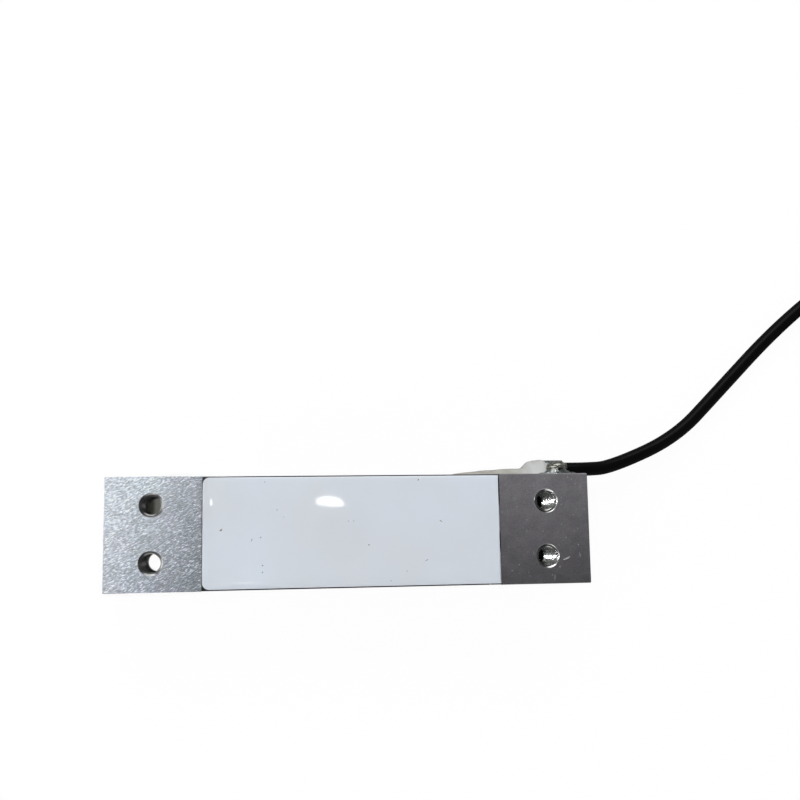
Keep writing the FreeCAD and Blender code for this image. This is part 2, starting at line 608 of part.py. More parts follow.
def end_core(side, level):
    """One bare-end core, from the jacket's cut end down to the floor, with its tinned tip."""
    points, heading = tail_points()
    across = Vector(-heading.y, heading.x, 0)
    start = points[-1] + across * (side * CORE_PITCH / 2) + Z_AXIS * (level * CORE_PITCH / 2)
    place = side * (1.5 if level > 0 else 0.5)
    floor = points[-1] + across * (place * END_CORE_SPREAD)
    floor.z = CORE_DIAMETER / 2
    knee = start + heading * (0.25 * END_CORE_LENGTH)
    touch = floor + heading * (0.62 * END_CORE_LENGTH)
    touch = touch - across * (place * 0.2 * END_CORE_SPREAD)
    finish = floor + heading * END_CORE_LENGTH
    insulation = cord("end core", [start, knee, touch, finish], CORE_DIAMETER, flat_sided_section)
    out = (finish - touch).normalize()
    tip = Part.Face(flat_sided_section(finish, out, TIP_DIAMETER)).extrude(out * TIP_LENGTH)
    return insulation, tip


def export(name, shape):
    assert shape.isValid(), name
    assert len(shape.Solids) == 1, name
    shape.exportStep("parts/" + name + ".step")


os.makedirs("parts", exist_ok=True)
pieces = {}
inside = [link_slot()]

for end, bore_x in BORES.items():
    lane = OUTER_LANE if end == "live" else TAB_LANE
    layers = {"film": gauge_film(bore_x), "grid": gauge_grid(bore_x),
              "lead_a": gauge_ribbon(bore_x, 1, lane), "lead_b": gauge_ribbon(bore_x, -1, lane)}
    for layer, shape in layers.items():
        pieces["top_" + end + "_gauge_" + layer] = shape
        pieces["bottom_" + end + "_gauge_" + layer] = underside(shape)
        inside.append(shape)

pieces["top_flex_board"] = flex_board()
pieces["bottom_flex_board"] = underside(flex_board())
inside.append(flex_board())
resistors = [resistor(place) for place in range(3)]
pieces["zero_resistor"], pieces["span_resistor"], pieces["temperature_resistor"] = resistors
for place in range(4):
    pieces["link_wire_" + str(place + 1)] = link_wire(place)
for place, (colour, (side, level)) in enumerate(CORES.items()):
    pieces["core_" + colour] = core(place, side, level)
    pieces["end_core_" + colour], pieces["end_tip_" + colour] = end_core(side, level)

pieces["beam"] = beam()
pieces["cable_clip"] = cable_clip()
pieces["clip_washer"] = clip_washer()
pieces["clip_lock_washer"] = lock_washer()
pieces["clip_screw"] = clip_screw()
pieces["cable_run"] = cable_run()
pieces["cable_coil"] = cable_coil()
pieces["cable_tail"] = cable_tail()
pieces["coil_tie"] = coil_tie()
pieces["top_potting"] = recess_potting(inside + resistors + [core_slot()])
pieces["bottom_potting"] = underside(recess_potting(inside))
pieces["side_potting"] = side_potting(pieces["cable_clip"])

for name, shape in pieces.items():
    export(name, shape)
print(len(pieces), "nodes")
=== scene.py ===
import bmesh
import bpy
import math
from mathutils import Matrix, Vector, noise


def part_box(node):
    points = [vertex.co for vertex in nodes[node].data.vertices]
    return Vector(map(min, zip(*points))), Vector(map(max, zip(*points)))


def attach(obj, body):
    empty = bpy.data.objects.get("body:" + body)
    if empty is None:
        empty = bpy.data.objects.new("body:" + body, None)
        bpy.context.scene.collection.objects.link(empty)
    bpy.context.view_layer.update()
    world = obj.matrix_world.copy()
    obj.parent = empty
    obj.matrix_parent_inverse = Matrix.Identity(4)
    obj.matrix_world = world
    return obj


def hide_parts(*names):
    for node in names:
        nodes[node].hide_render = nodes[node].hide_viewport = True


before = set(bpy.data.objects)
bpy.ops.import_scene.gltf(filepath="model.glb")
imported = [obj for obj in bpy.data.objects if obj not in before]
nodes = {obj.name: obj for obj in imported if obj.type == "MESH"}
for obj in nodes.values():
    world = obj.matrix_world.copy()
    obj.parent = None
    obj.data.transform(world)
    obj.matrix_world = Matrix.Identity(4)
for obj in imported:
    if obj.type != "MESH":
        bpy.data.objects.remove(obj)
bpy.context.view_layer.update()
mm = 0.001


# Camera: above the live end, leaning a little towards the fixed end and the cable, and rolled
# by one degree. Distances are from the middle of the fixed end's holes, at the bottom face.
camera_place = Vector((-78.85, -2.0, 300.66)) * mm
camera_target = Vector((-38.5, 36.8, 11.0)) * mm
camera_roll = math.radians(0.94)
look = (camera_target - camera_place).normalized()
right = Matrix.Rotation(camera_roll, 3, look) @ look.cross(Vector((0, 1, 0))).normalized()
up = right.cross(look)
camera_data = bpy.data.cameras.new("camera")
camera_data.lens = 46.78
camera_data.sensor_width = 36.0
camera_data.clip_start = 0.01
camera = bpy.data.objects.new("camera", camera_data)
camera.matrix_world = Matrix((right, up, -look)).transposed().to_4x4()
camera.location = camera_place
bpy.context.collection.objects.link(camera)
bpy.context.scene.camera = camera


# Beam: one block of aluminium alloy, sawn to length, milled all over, drilled and tapped. The
# live end is etched to a coarse sparkling grain; the fixed end is smoother and marked by
# handling, and its colour is darkened as painted shade for the dark surroundings it mirrors.
hole_spacing_x = 106.0 * mm
hole_offset_y = 7.5 * mm
mouth_radius = 3.25 * mm
mouth_depth = 0.75 * mm
thread_pitch = 1.0 * mm
beam_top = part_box("beam")[1].z
middle_x = -hole_spacing_x / 2
recess_half_x = 40.05 * mm
recess_half_y = 14.95 * mm


def plain_material(name, colour, roughness, metallic=0.0):
    material = bpy.data.materials.new(name)
    material.use_nodes = True
    shader = material.node_tree.nodes["Principled BSDF"]
    shader.inputs["Base Color"].default_value = (*colour, 1)
    shader.inputs["Roughness"].default_value = roughness
    shader.inputs["Metallic"].default_value = metallic
    return material


def add(tree, kind, inputs, **settings):
    """Add a shader node; each input is a plain value or another node's output."""
    node = tree.nodes.new("ShaderNode" + kind)
    for name, value in settings.items():
        setattr(node, name, value)
    for key, value in inputs.items():
        if isinstance(value, bpy.types.NodeSocket):
            tree.links.new(value, node.inputs[key])
        else:
            node.inputs[key].default_value = value
    return node.outputs


def calc(tree, operation, first, second=0.0):
    return add(tree, "Math", {0: first, 1: second}, operation=operation)[0]


def mix_values(tree, share, first, second):
    return add(tree, "Mix", {0: share, 2: first, 3: second})[0]


def mix_colours(tree, share, first, second, mode="MIX"):
    return add(tree, "Mix", {0: share, 6: first, 7: second}, data_type="RGBA", blend_type=mode)[2]


def remap(tree, value, low, high, to_low=0.0, to_high=1.0):
    return add(tree, "MapRange", {"Value": value, "From Min": low, "From Max": high,
                                  "To Min": to_low, "To Max": to_high})[0]


def bump(tree, strength, distance, height, below=None):
    inputs = {"Strength": strength, "Distance": distance, "Height": height}
    if below is not None:
        inputs["Normal"] = below
    return add(tree, "Bump", inputs)[0]


def object_place(tree):
    return add(tree, "TexCoord", {})["Object"]


def noise_at(tree, place, scale, detail=2.0, turn=0.0, stretch=(1, 1, 1)):
    turned = add(tree, "Mapping", {"Vector": place, "Rotation": (0, 0, turn), "Scale": stretch},
                 vector_type="TEXTURE")[0]
    return add(tree, "TexNoise", {"Vector": turned, "Scale": scale, "Detail": detail})[0]


def tapped_holes(tree, x, y, z):
    """Relief of the threads and lips of the four holes, a mask of their walls, and their shade.

    The height falls away from near the bottom at the slope of a thread's upper flank, more
    gently in the countersunk mouth, and a fine ridge follows the helix. The wall away from
    the live end keeps its tint; the other side and all that lies deep are darkened to nearly
    black as painted shade."""
    ridge_height = 0.04 * mm
    wall_slope = -2.9
    mouth_slope = -0.7
    lip_width = 0.14 * mm
    lip_height = 0.045 * mm
    mouth_start = beam_top - mouth_depth
    live = calc(tree, "LESS_THAN", x, middle_x)
    from_axis_x = calc(tree, "ADD", x, calc(tree, "MULTIPLY", live, hole_spacing_x))
    from_axis_y = calc(tree, "SUBTRACT", calc(tree, "ABSOLUTE", y), hole_offset_y)
    offset = add(tree, "CombineXYZ", {"X": from_axis_x, "Y": from_axis_y})[0]
    radius = add(tree, "VectorMath", {0: offset}, operation="LENGTH")[1]
    turns = calc(tree, "MULTIPLY", z, 2 * math.pi / thread_pitch)
    angle = calc(tree, "ARCTAN2", from_axis_y, from_axis_x)
    ridges = calc(tree, "MULTIPLY", calc(tree, "SINE", calc(tree, "ADD", turns, angle)), ridge_height)
    wall_z = calc(tree, "SUBTRACT", calc(tree, "MINIMUM", z, mouth_start), 4.0 * mm)
    mouth_z = calc(tree, "MAXIMUM", calc(tree, "SUBTRACT", z, mouth_start), 0.0)
    slopes = calc(tree, "ADD", calc(tree, "MULTIPLY", calc(tree, "ABSOLUTE", wall_z), wall_slope),
                  calc(tree, "MULTIPLY", mouth_z, mouth_slope))
    flanks = calc(tree, "ADD", slopes, ridges)
    from_lip = calc(tree, "ABSOLUTE", calc(tree, "SUBTRACT", radius, mouth_radius + 0.02 * mm))
    lip = remap(tree, from_lip, lip_width, 0.0, 0.0, lip_height)
    in_hole = calc(tree, "LESS_THAN", radius, mouth_radius - 0.01 * mm)
    # Painted shade: the side towards the live end is darkened, the fixed end's holes nearly to black
    # below the key lamp's reach, and the live end's holes all over.
    darkest = calc(tree, "ADD", 0.2, calc(tree, "MULTIPLY", live, 0.2))
    side = remap(tree, from_axis_x, -0.5 * mm, 2.3 * mm, darkest, 1.0)
    deep = mix_values(tree, live, remap(tree, z, 8.7 * mm, 9.3 * mm, 0.05, 1.0), 0.62)
    return flanks, lip, in_hole, calc(tree, "MULTIPLY", side, deep)


def recess_mask(tree, x, y, z):
    from_middle = calc(tree, "ABSOLUTE", calc(tree, "SUBTRACT", x, middle_x))
    in_x = calc(tree, "LESS_THAN", from_middle, recess_half_x)
    in_y = calc(tree, "LESS_THAN", calc(tree, "ABSOLUTE", y), recess_half_y)
    below_top = calc(tree, "LESS_THAN", z, beam_top - 0.1 * mm)
    return calc(tree, "MULTIPLY", calc(tree, "MULTIPLY", in_x, in_y), below_top)


def milled_aluminium():
    live_tint = (0.77, 0.825, 0.93, 1)
    # The fixed end's tint is darkened as painted shade for the dark surroundings it mirrors.
    fixed_tint_and_shade = (0.42, 0.405, 0.435, 1)
    wall_tint = (0.66, 0.67, 0.66, 1)
    material = plain_material("milled aluminium", (0.7, 0.7, 0.72), 0.3, 1.0)
    tree = material.node_tree
    shader = tree.nodes["Principled BSDF"]
    place = object_place(tree)
    x, y, z = add(tree, "SeparateXYZ", {0: place})
    along = remap(tree, x, -0.09, -0.03)
    live_share = calc(tree, "SUBTRACT", 1.0, along)

    # Colour: etched grain on the live end, its brightest grains raised into painted glints, soft
    # clouds and fine grit everywhere.
    grain = noise_at(tree, place, 4200.0, 1.0, math.radians(26), (3.1, 0.8, 1))
    grit = noise_at(tree, place, 5200.0)
    cloud = noise_at(tree, place, 260.0, 3.0)
    tint = mix_colours(tree, along, live_tint, fixed_tint_and_shade)
    shade = calc(tree, "MULTIPLY", remap(tree, grit, 0.3, 0.7, 0.78, 1.2),
                 remap(tree, cloud, 0.35, 0.65, 0.92, 1.08))
    tint = mix_colours(tree, 1.0, tint, shade, "MULTIPLY")
    # The first range is the grain's own tone; the second is painted highlight, bright glints on the top
    # grains.
    grain_and_glints = calc(tree, "ADD", remap(tree, grain, 0.38, 0.6, 0.48, 0.9),
                   remap(tree, grain, 0.6, 0.7, 0.0, 1.1))
    tint = mix_colours(tree, live_share, tint, grain_and_glints, "MULTIPLY")
    # Painted shade: the recess under the silicone is darkened, so its narrow gaps read dark.
    tint = mix_colours(tree, recess_mask(tree, x, y, z), tint, (0.10, 0.10, 0.11, 1))

    # Painted shade: the live end is darkened towards the silicone and both ends towards -Y.
    live_falloff_x = calc(tree, "MULTIPLY", calc(tree, "ADD", x, 92.0 * mm), -19.5)
    live_shade_ramp = calc(tree, "ADD", calc(tree, "ADD", live_falloff_x, calc(tree, "MULTIPLY", y, 11.0)), 0.575)
    fixed_shade_ramp = calc(tree, "ADD", calc(tree, "MULTIPLY", y, 14.0), 0.69)
    tint = mix_colours(tree, 1.0, tint, mix_values(tree, along, live_shade_ramp, fixed_shade_ramp), "MULTIPLY")
    flanks, lip, in_hole, hole_shade = tapped_holes(tree, x, y, z)
    tint = mix_colours(tree, in_hole, tint, mix_colours(tree, 1.0, wall_tint, hole_shade, "MULTIPLY"))

    # Pale specks of dust on the fixed end.
    specks = add(tree, "TexVoronoi", {"Vector": place, "Scale": 900.0})
    chosen = calc(tree, "GREATER_THAN", add(tree, "SeparateXYZ", {0: specks["Color"]})[0], 0.7)
    speck = calc(tree, "MULTIPLY", chosen, calc(tree, "LESS_THAN", specks["Distance"], 0.12))
    speck = calc(tree, "MULTIPLY", speck, along)
    tint = mix_colours(tree, speck, tint, (0.62, 0.62, 0.63, 1))

    outside = calc(tree, "SUBTRACT", 1.0, in_hole)
    grain_strength = calc(tree, "MULTIPLY", remap(tree, along, 0.0, 1.0, 1.0, 0.12), outside)
    grit_strength = calc(tree, "MULTIPLY", remap(tree, along, 0.0, 1.0, 0.2, 0.45), outside)
    relief = bump(tree, grain_strength, 0.12 * mm, grain)
    relief = bump(tree, grit_strength, 0.01 * mm, grit, relief)
    relief = bump(tree, 1.0, 1.0, lip, relief)
    relief = bump(tree, in_hole, 1.0, flanks, relief)
    gloss = mix_values(tree, in_hole, remap(tree, along, 0.0, 1.0, 0.30, 0.42), 0.22)
    tree.links.new(tint, shader.inputs["Base Color"])
    tree.links.new(gloss, shader.inputs["Roughness"])
    tree.links.new(calc(tree, "SUBTRACT", 1.0, speck), shader.inputs["Metallic"])
    tree.links.new(relief, shader.inputs["Normal"])
    return material


nodes["beam"].material_slots[0].material = milled_aluminium()


def mesh_piece(name, points, faces, material, replaced=None, smooth=True, sharp=None,
               turn_out=False, merge=None):
    """Make a mesh a piece of the part; turn_out recalculates the normals of a closed shape."""
    mesh = bpy.data.meshes.new(name)
    mesh.from_pydata(points, [], faces)
    if turn_out:
        bm = bmesh.new()
        bm.from_mesh(mesh)
        if merge is not None:
            bmesh.ops.remove_doubles(bm, verts=bm.verts, dist=merge)
        bmesh.ops.recalc_face_normals(bm, faces=bm.faces)
        bm.to_mesh(mesh)
        bm.free()
    if smooth:
        mesh.shade_smooth()
    if sharp is not None:
        mesh.set_sharp_from_angle(angle=sharp)
    mesh.materials.append(material)
    obj = bpy.data.objects.new(name, mesh)
    bpy.context.collection.objects.link(obj)
    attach(obj, "root")
    if replaced is not None:
        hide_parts(replaced)
    return obj


def flat_marks(name, marks, height_at, material):
    """Slivers lying on a face; each is a place, half length, half width and turn (mm, deg)."""
    corners = 10
    bend = 0.12
    points = []
    faces = []
    for x, y, long, wide, turn in marks:
        along = Vector((math.cos(math.radians(turn)), math.sin(math.radians(turn)), 0))
        across = Vector((-along.y, along.x, 0))
        faces.append(tuple(range(len(points), len(points) + corners)))
        for k in range(corners):
            angle = 2 * math.pi * k / corners
            uneven = 1 + 0.5 * noise.noise(Vector((x * 3 + math.cos(angle), y * 3 + math.sin(angle), k)))
            place = Vector((x, y, 0)) + along * (long * math.cos(angle)) * uneven
            place += across * (wide * math.sin(angle) + bend * long * math.cos(angle) ** 2) * uneven
            place *= mm
            place.z = height_at(place.x, place.y)
            points.append(place)
    return mesh_piece(name, points, faces, material, smooth=False)


scratches = [(9.8, 11.2, 0.9, 0.07, 80), (3.3, 11.5, 0.15, 0.13, 0), (-8.2, 5.9, 0.25, 0.08, 45),
             (9.1, -7.4, 0.7, 0.08, 95), (5.3, -8.3, 1.05, 0.17, 22), (1.8, -13.3, 0.8, 0.07, 85),
             (-3.9, -6.7, 0.6, 0.06, 95), (-10.8, -4.9, 0.25, 0.08, 80), (-10.9, 10.5, 0.14, 0.1, 0),
             (-5.2, -12.8, 0.25, 0.06, 70), (-4.2, 0.9, 0.13, 0.1, 0), (-6.6, 0.4, 0.12, 0.09, 0)]
scratched = plain_material("scratched aluminium", (0.5, 0.5, 0.51), 0.5)
flat_marks("block_scratches", scratches, lambda x, y: beam_top + 0.01 * mm, scratched)


# Gauges and wiring under the silicone: etched foil grids on amber film, enamelled copper
# leads, a flexible board each side and three glazed chip resistors.
amber_film = plain_material("amber film", (0.42, 0.20, 0.04), 0.25)
etched_foil = plain_material("etched foil", (0.66, 0.55, 0.44), 0.35, 1.0)
copper_wire = plain_material("enamelled copper", (0.62, 0.28, 0.13), 0.3, 1.0)
chip_glaze = plain_material("chip glaze", (0.03, 0.03, 0.035), 0.3)
for name, node in nodes.items():
    if name.endswith("_film") or name.endswith("_flex_board"):
        node.material_slots[0].material = amber_film
    elif name.endswith("_grid"):
        node.material_slots[0].material = etched_foil
    elif "_lead_" in name or name.startswith("link_wire"):
        node.material_slots[0].material = copper_wire
    elif name.endswith("_resistor"):
        node.material_slots[0].material = chip_glaze


# Top and bottom silicone: poured level with the beam's faces over the gauges, glossy and
# bluish white. It rounds off at its long edges, climbs the wall at the live end, and was
# trimmed with a knife at the fixed end.
def glossy_silicone():
    patch_middle = Vector((-56.5, -0.5, 22.0)) * mm
    material = plain_material("white silicone", (0.7, 0.75, 0.8), 0.025)
    tree = material.node_tree
    place = object_place(tree)
    haze = remap(tree, noise_at(tree, place, 42.0, 3.0), 0.35, 0.7)
    tint = mix_colours(tree, haze, (0.755, 0.815, 0.895, 1), (0.745, 0.785, 0.835, 1))
    from_patch = add(tree, "VectorMath", {0: place, 1: patch_middle}, operation="DISTANCE")[1]
    ragged = calc(tree, "ADD", from_patch, calc(tree, "MULTIPLY", haze, 4.0 * mm))
    patch = remap(tree, ragged, 12.0 * mm, 7.0 * mm)
    tint = mix_colours(tree, calc(tree, "MULTIPLY", patch, 0.3), tint, (0.70, 0.73, 0.765, 1))
    tree.links.new(tint, tree.nodes["Principled BSDF"].inputs["Base Color"])
    return material


white_silicone = glossy_silicone()
slab_corner = 1.9 * mm
slab_drop = 0.34 * mm
slab_climb = 0.27 * mm
slab_climb_length = 3.7 * mm
slab_side_gap = 0.25 * mm
slab_sink = 0.1 * mm
slab_ripple = 0.02 * mm
slab_columns = 240
slab_rows = 90


def slab_outline(share_x, share_y, low, high):
    """A point of the slab's plan: rounded corners at the live end, a wavy cut at the other."""
    y = low.y + (high.y - low.y) * share_y
    to_side = min(y - low.y, high.y - y)
    start = low.x + 0.1 * mm * noise.noise(Vector((y * 300, 4.3, 0)))
    if to_side < slab_corner:
        start += slab_corner - math.sqrt(slab_corner ** 2 - (slab_corner - to_side) ** 2)
    wander = 0.6 * noise.noise(Vector((y * 120, 0.3, 0))) + 0.25 * noise.noise(Vector((y * 700, 1.3, 0)))
    end = high.x + (wander + 0.1) * 0.6 * mm
    return start + (end - start) * share_x, y


def slab_sag(x, y, low, high):
    """How far the silicone's face lies below its pouring level."""
    sag = 0.0
    for gap, width in ((x - low.x, 0.45 * mm), (y - low.y, 2.6 * mm), (high.y - y, 1.6 * mm),
                       (high.x - x, 0.35 * mm)):
        near = min(max(1 - gap / width, 0.0), 1.0)
        sag = max(sag, slab_drop * (1 - math.sqrt(1 - near * near)))
    wave = noise.noise(Vector((x * 45, y * 60, 0.7)))
    wave += 0.35 * noise.noise(Vector((x * 130, y * 150, 2.1)))
    share = min(max((x - low.x) / slab_climb_length, 0.0), 1.0)
    return sag + slab_ripple * wave - slab_climb * (1 - (4 * share - share ** 4) / 3)


def silicone_slab(name, node, upwards):
    low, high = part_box(node)
    low.y += slab_side_gap
    high.y -= slab_side_gap
    inner = low.z if upwards else high.z
    sign = 1 if upwards else -1
    level = (high.z if upwards else low.z) - sign * slab_sink
    points = []
    faces = []
    for i in range(slab_columns + 1):
        for j in range(slab_rows + 1):
            share_x = 0.5 - 0.5 * math.cos(math.pi * i / slab_columns)
            share_y = 0.5 - 0.5 * math.cos(math.pi * j / slab_rows)
            x, y = slab_outline(share_x, share_y, low, high)
            points.append((x, y, level - sign * slab_sag(x, y, low, high)))
    column = slab_rows + 1
    for i in range(slab_columns):
        for j in range(slab_rows):
            corner = i * column + j
            quad = (corner, corner + column, corner + column + 1, corner + 1)
            faces.append(quad if upwards else quad[::-1])

    # Walls down to the recess floor all round, and one face to close the underside.
    rim = [i * column for i in range(slab_columns + 1)]
    rim += [slab_columns * column + j for j in range(1, column)]
    rim += [i * column + slab_rows for i in reversed(range(slab_columns))]
    rim += [j for j in reversed(range(1, slab_rows))]
    base = len(points)
    points += [(points[k][0], points[k][1], inner) for k in rim]
    count = len(rim)
    for k in range(count):
        after = (k + 1) % count
        quad = (rim[k], base + k, base + after, rim[after])
        faces.append(quad if upwards else quad[::-1])
    under = list(range(base, base + count))
    faces.append(under[::-1] if upwards else under)
    return mesh_piece(name, points, faces, white_silicone, replaced=node)


silicone_slab("top_silicone", "top_potting", True)
silicone_slab("bottom_silicone", "bottom_potting", False)

# Dust and nicks caught in the top silicone, and one burst bubble near its long edge, drawn as a
# dark sliver of painted shade in its hollow and a white sliver of painted highlight on its rim.
dust_and_bubble_shade = [(-76.6, 13.3, 0.17, 0.1, 0), (-73.4, 5.9, 0.18, 0.1, 70), (-71.6, 4.0, 0.12, 0.1, 0),
        (-88.0, 0.8, 0.38, 0.26, 40), (-80.0, -1.9, 0.45, 0.1, 70), (-77.7, -1.3, 0.22, 0.13, 20),
        (-77.2, -8.6, 0.22, 0.16, 0), (-77.2, -10.4, 0.22, 0.16, 60), (-29.4, 2.4, 0.45, 0.11, -35),
        (-49.0, -3.7, 0.22, 0.17, 0), (-33.4, -8.0, 0.5, 0.09, 30), (-38.8, -10.8, 0.16, 0.1, 0),
        (-43.2, -13.3, 0.16, 0.1, 0), (-53.0, 2.7, 0.13, 0.1, 0), (-54.4, 2.7, 0.15, 0.09, 10),
        (-35.3, 13.55, 0.35, 0.14, 40)]
# The last dust mark is the bubble's dark half, painted shade; this white mark is painted highlight.
bubble = [(-34.8, 13.8, 0.3, 0.14, 30)]
top_low, top_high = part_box("top_potting")


def on_top_silicone(x, y):
    lift = 0.01 * mm
    return top_high.z - slab_sink + lift - slab_sag(x, y, top_low, top_high)


flat_marks("silicone_dust_and_bubble_shade", dust_and_bubble_shade, on_top_silicone, plain_material("dust_and_bubble_shade", (0.20, 0.20, 0.21), 0.6))
flat_marks("silicone_bubble_highlight", bubble, on_top_silicone,
           plain_material("bubble rim highlight", (0.95, 0.96, 0.97), 0.1))


# Cable: a four-core lead, 4 mm thick, with a black PVC jacket. It starts inside the side
# silicone, passes under the clip, drops to the bench and swings away; the spare length is
# wound into two turns and a part beside the fixed end.
def cord_curve(name, points, diameter, material):
    curve = bpy.data.curves.new(name, "CURVE")
    curve.dimensions = "3D"
    spline = curve.splines.new("NURBS")
    spline.points.add(len(points) - 1)
    for place, point in zip(spline.points, points):
        place.co = (*point, 1)
    spline.order_u = 3
    spline.use_endpoint_u = True
    curve.resolution_u = 10
    curve.render_resolution_u = 10
    curve.bevel_depth = diameter / 2
    curve.bevel_resolution = 9
    curve.use_fill_caps = True
    curve.materials.append(material)
    obj = bpy.data.objects.new(name, curve)
    bpy.context.collection.objects.link(obj)
    return obj


cable_diameter = 4.0 * mm
cable_start = Vector((-0.8, 17.05, 6.5)) * mm
route = [(10.5, 17.05, 6.5), (16.5, 17.08, 6.38), (24.6, 17.6, 5.0), (46.1, 26.5, 2.7),
         (60.6, 40.5, 2.05), (79.6, 59.3, 2.0), (98.6, 74.3, 2.1)]
coil_centre = Vector((124.5, 56.0, 0.0)) * mm
entry_angle = 110.0
exit_angle = 60.0
whole_turns = 2
outer_lane = 26.05 * mm
inner_lane = 21.95 * mm
top_lane = 24.0 * mm
lower_height = 2.55 * mm
upper_height = 6.65 * mm
steps_per_turn = 24
tail_drop_start = 21.0 * mm
tail_drop_end = 39.0 * mm
tail_length = 53.0 * mm


def around_coil(angle, radius, height):
    turn = math.radians(angle)
    return coil_centre + Vector((radius * math.cos(turn), radius * math.sin(turn), height))


def ease(value, start, end):
    share = min(max((value - start) / (end - start), 0.0), 1.0)
    return share * share * (3 - 2 * share)


def coil_point(turn):
    """The first turn lies outside, the second inside it, and the last part on top of both."""
    radius = outer_lane + (inner_lane - outer_lane) * ease(turn, 0.80, 1.0)
    radius += (top_lane - inner_lane) * ease(turn, 1.68, 1.86)
    height = lower_height + (upper_height - lower_height) * ease(turn, 1.48, 1.70)
    reach = radius / math.cos(math.pi / steps_per_turn)
    return around_coil(entry_angle - 360 * turn, reach, height)


coil_turns = whole_turns + (entry_angle - exit_angle) / 360
coil_steps = int(coil_turns * steps_per_turn)
tail_heading = Vector((math.sin(math.radians(exit_angle)), -math.cos(math.radians(exit_angle)), 0))
tail_start = around_coil(exit_angle, top_lane, upper_height)
tail_floor = Vector((tail_start.x, tail_start.y, cable_diameter / 2))
cable_end = tail_floor + tail_heading * tail_length
cable_points = [cable_start] + [Vector(point) * mm for point in route]
cable_points += [coil_point(step / steps_per_turn) for step in range(coil_steps + 1)]
cable_points += [tail_start, tail_start + tail_heading * tail_drop_start,
                 tail_floor + tail_heading * tail_drop_end, cable_end]

jacket = plain_material("black PVC jacket", (0.0042, 0.0042, 0.0046), 0.24)
jacket.node_tree.nodes["Principled BSDF"].inputs["Specular IOR Level"].default_value = 0.04
cable = cord_curve("cable", cable_points, cable_diameter, jacket)
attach(cable, "root")
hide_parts("cable_run", "cable_coil", "cable_tail")


# Bare end: the jacket is cut back, and the four PVC-covered cores fan out on the bench with
# their strands twisted and tinned. A plain twist tie holds the coil.
core_diameter = 0.8 * mm
core_pitch = 0.85 * mm
end_core_length = 34.0 * mm
end_core_spread = 3.6 * mm
core_straight = 0.25 * end_core_length
core_touch = 0.62 * end_core_length
core_flare = 0.2
core_colours = {"white": (0.80, 0.79, 0.75), "green": (0.03, 0.30, 0.09),
                "red": (0.55, 0.02, 0.02), "black": (0.015, 0.015, 0.015)}
core_places = {"white": (1, -1), "green": (-1, -1), "red": (-1, 1), "black": (1, 1)}
tinned = plain_material("tinned strands", (0.72, 0.72, 0.70), 0.3, 1.0)
sideways = Vector((-tail_heading.y, tail_heading.x, 0))
bare_end = []
for colour, (side, level) in core_places.items():
    insulation = plain_material(colour + " core", core_colours[colour], 0.35)
    spread = side * (1.5 if level > 0 else 0.5) * end_core_spread
    start = cable_end + sideways * (side * core_pitch / 2) + Vector((0, 0, level * core_pitch / 2))
    bench = cable_end + sideways * spread
    bench.z = core_diameter / 2
    touch = bench + tail_heading * core_touch - sideways * (core_flare * spread)
    finish = bench + tail_heading * end_core_length
    points = [start, start + tail_heading * core_straight, touch, finish]
    core = cord_curve("bare_core_" + colour, points, core_diameter, insulation)
    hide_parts("end_core_" + colour)
    nodes["end_tip_" + colour].material_slots[0].material = tinned
    nodes["core_" + colour].material_slots[0].material = insulation
    bare_end += [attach(core, "root"), nodes["end_tip_" + colour]]
nodes["coil_tie"].material_slots[0].material = plain_material("black tie", (0.03, 0.03, 0.03), 0.5)


# Side silicone: a bead squeezed by hand over the wiring hole, milky and half clear where it
# thins out, and swelling into an opaque white lump that buries the jacket's end and the near
# half of the clip.
def milky_silicone():
    material = plain_material("milky silicone", (0.8, 0.8, 0.78), 0.22)
    tree = material.node_tree
    shader = tree.nodes["Principled BSDF"]
    place = object_place(tree)
    x = add(tree, "SeparateXYZ", {0: place})[0]
    opaque = remap(tree, x, -6.0 * mm, -1.0 * mm)
    cloud = remap(tree, noise_at(tree, place, 300.0, 2.0), 0.35, 0.65)
    clear = mix_colours(tree, cloud, (0.46, 0.45, 0.405, 1), (0.55, 0.54, 0.495, 1))
    tint = mix_colours(tree, opaque, clear, (0.62, 0.63, 0.625, 1))
    tree.links.new(tint, shader.inputs["Base Color"])
    shader.inputs["Subsurface Weight"].default_value = 0.35
    shader.inputs["Subsurface Radius"].default_value = (1.0, 0.9, 0.8)
    shader.inputs["Subsurface Scale"].default_value = 1.2 * mm
    return material


# The bead is swept about an axis 4 mm inside the side face. Its outline gives the place along
# the beam and the height over that face, both in millimetres.
bead_axis = Vector((0, 11.0, 6.5)) * mm
axis_to_side = 4.0
bead_outline = [(-25.6, -0.6), (-25.2, 0.15), (-22.6, 1.0), (-18.9, 1.45), (-13.9, 1.9),
                (-8.5, 2.3), (-5.8, 2.4), (-3.6, 2.45), (-2.6, 2.85), (-1.8, 3.55), (-1.0, 4.2),
                (0.2, 4.6), (1.6, 4.75), (3.0, 4.65), (3.8, 4.2), (4.3, 3.2), (4.5, 1.7), (4.55, 0.0)]
bead_stations = 120
bead_steps = 48
least_height = 0.005
lumpiness = 0.07


def bead_height(share):
    """A smooth curve through the outline: place along the beam and height over its side."""
    step = share * (len(bead_outline) - 1)
    k = min(int(step), len(bead_outline) - 2)
    t = step - k
    around = [bead_outline[min(max(k + n, 0), len(bead_outline) - 1)] for n in (-1, 0, 1, 2)]
    weights = (0.5 * (-t ** 3 + 2 * t ** 2 - t), 0.5 * (3 * t ** 3 - 5 * t ** 2 + 2),
               0.5 * (-3 * t ** 3 + 4 * t ** 2 + t), 0.5 * (t ** 3 - t ** 2))
    return [sum(weight * point[n] for weight, point in zip(weights, around)) for n in (0, 1)]


